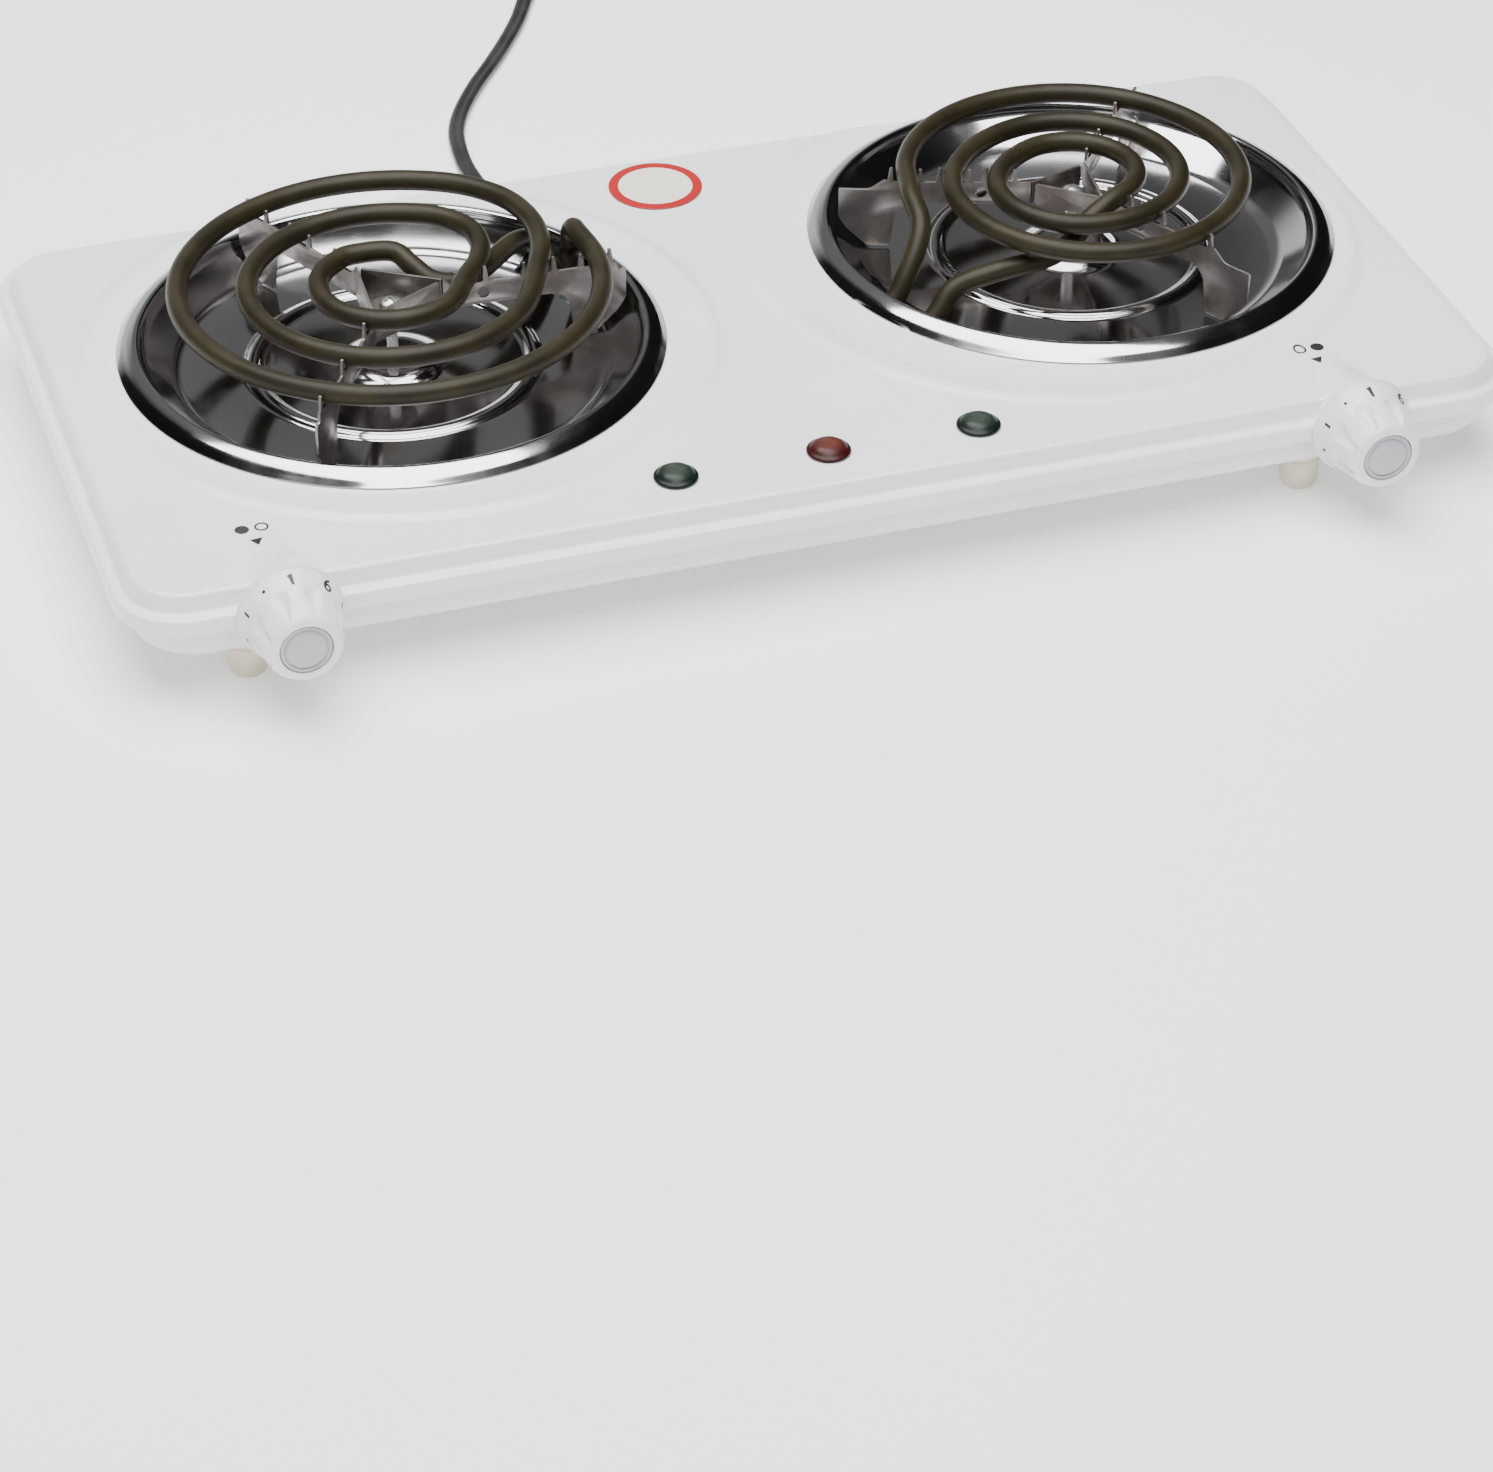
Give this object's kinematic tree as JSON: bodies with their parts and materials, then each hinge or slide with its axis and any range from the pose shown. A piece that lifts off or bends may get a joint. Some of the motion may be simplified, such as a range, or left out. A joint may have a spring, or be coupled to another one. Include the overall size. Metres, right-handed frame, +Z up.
{
  "type": "double hot plate",
  "caption": "Countertop electric hot plate: white enamelled low body, coil burners in chrome drip pans, front rotary dials, indicator lamps, black mains lead.",
  "frame": {"origin": "middle of the appliance's footprint, dials included and lead left out, at the underside of the feet", "axes": "+X to the right along the long side, +Y from the dials to the back, +Z up"},
  "size_m": [0.494, 0.6022, 0.0667],
  "materials": {
    "white_enamel": "glossy white enamel on pressed steel",
    "chrome": "bright chrome plate",
    "coil_sheath": "olive-brown oxidised heating element sheath, satin",
    "support_steel": "bare pressed steel strip",
    "zinc_screws": "zinc-plated steel",
    "galvanised_sheet": "galvanised sheet",
    "ceramic": "unglazed steatite ceramic",
    "white_plastic": "semi-gloss white moulded phenolic",
    "grey_cap": "light grey moulded inset",
    "green_lens": "dark green translucent lens",
    "red_lens": "dark red translucent lens",
    "lamp_holder_plastic": "natural nylon",
    "cream_rubber": "cream rubber",
    "black_lead": "black PVC, satin",
    "nickel_prongs": "nickel-plated brass",
    "round_label": "printed film label, red ring on cream"
  },
  "bodies": {
    "housing": {"arm_left_1": "support_steel", "arm_left_2": "support_steel", "arm_left_3": "support_steel", "arm_right_1": "support_steel", "arm_right_2": "support_steel", "arm_right_3": "support_steel", "base_pan": "white_enamel", "case_post_back_left": "zinc_screws", "case_post_back_right": "zinc_screws", "case_post_front_left": "zinc_screws", "case_post_front_right": "zinc_screws", "case_screw_back_left": "zinc_screws", "case_screw_back_right": "zinc_screws", "case_screw_front_left": "zinc_screws", "case_screw_front_right": "zinc_screws", "coil_left": "coil_sheath", "coil_right": "coil_sheath", "cord_coil": "black_lead", "cord_run": "black_lead", "cord_tail": "black_lead", "drip_pan_left": "chrome", "drip_pan_right": "chrome", "foot_back_left": "cream_rubber", "foot_back_right": "cream_rubber", "foot_front_left": "cream_rubber", "foot_front_right": "cream_rubber", "foot_screw_back_left": "zinc_screws", "foot_screw_back_right": "zinc_screws", "foot_screw_front_left": "zinc_screws", "foot_screw_front_right": "zinc_screws", "heat_shield": "galvanised_sheet", "hub_bolt_left": "zinc_screws", "hub_bolt_right": "zinc_screws", "hub_nut_left": "zinc_screws", "hub_nut_right": "zinc_screws", "hub_plate_left": "support_steel", "hub_plate_right": "support_steel", "label": "round_label", "lamp_holder_1": "lamp_holder_plastic", "lamp_holder_2": "lamp_holder_plastic", "lamp_holder_3": "lamp_holder_plastic", "lens_1": "green_lens", "lens_2": "red_lens", "lens_3": "green_lens", "plug": "black_lead", "prong_1": "nickel_prongs", "prong_2": "nickel_prongs", "strain_relief": "black_lead", "terminal_block_left": "ceramic", "terminal_block_right": "ceramic", "thermostat_left": "ceramic", "thermostat_right": "ceramic", "top_plate": "white_enamel"},
    "dial_left": {"knob_left": "white_plastic", "knob_cap_left": "grey_cap", "shaft_left": "zinc_screws"},
    "dial_right": {"knob_right": "white_plastic", "knob_cap_right": "grey_cap", "shaft_right": "zinc_screws"}
  },
  "joints": [
    {"name": "dial_left_turn", "type": "hinge", "parent": "housing", "child": "dial_left", "pos_m": [-0.1936, -0.1108, 0.0317], "axis": [0, 1, 0], "range_deg": [0, 315]},
    {"name": "dial_right_turn", "type": "hinge", "parent": "housing", "child": "dial_right", "pos_m": [0.1828, -0.1108, 0.0317], "axis": [0, 1, 0], "range_deg": [0, 315]}
  ]
}
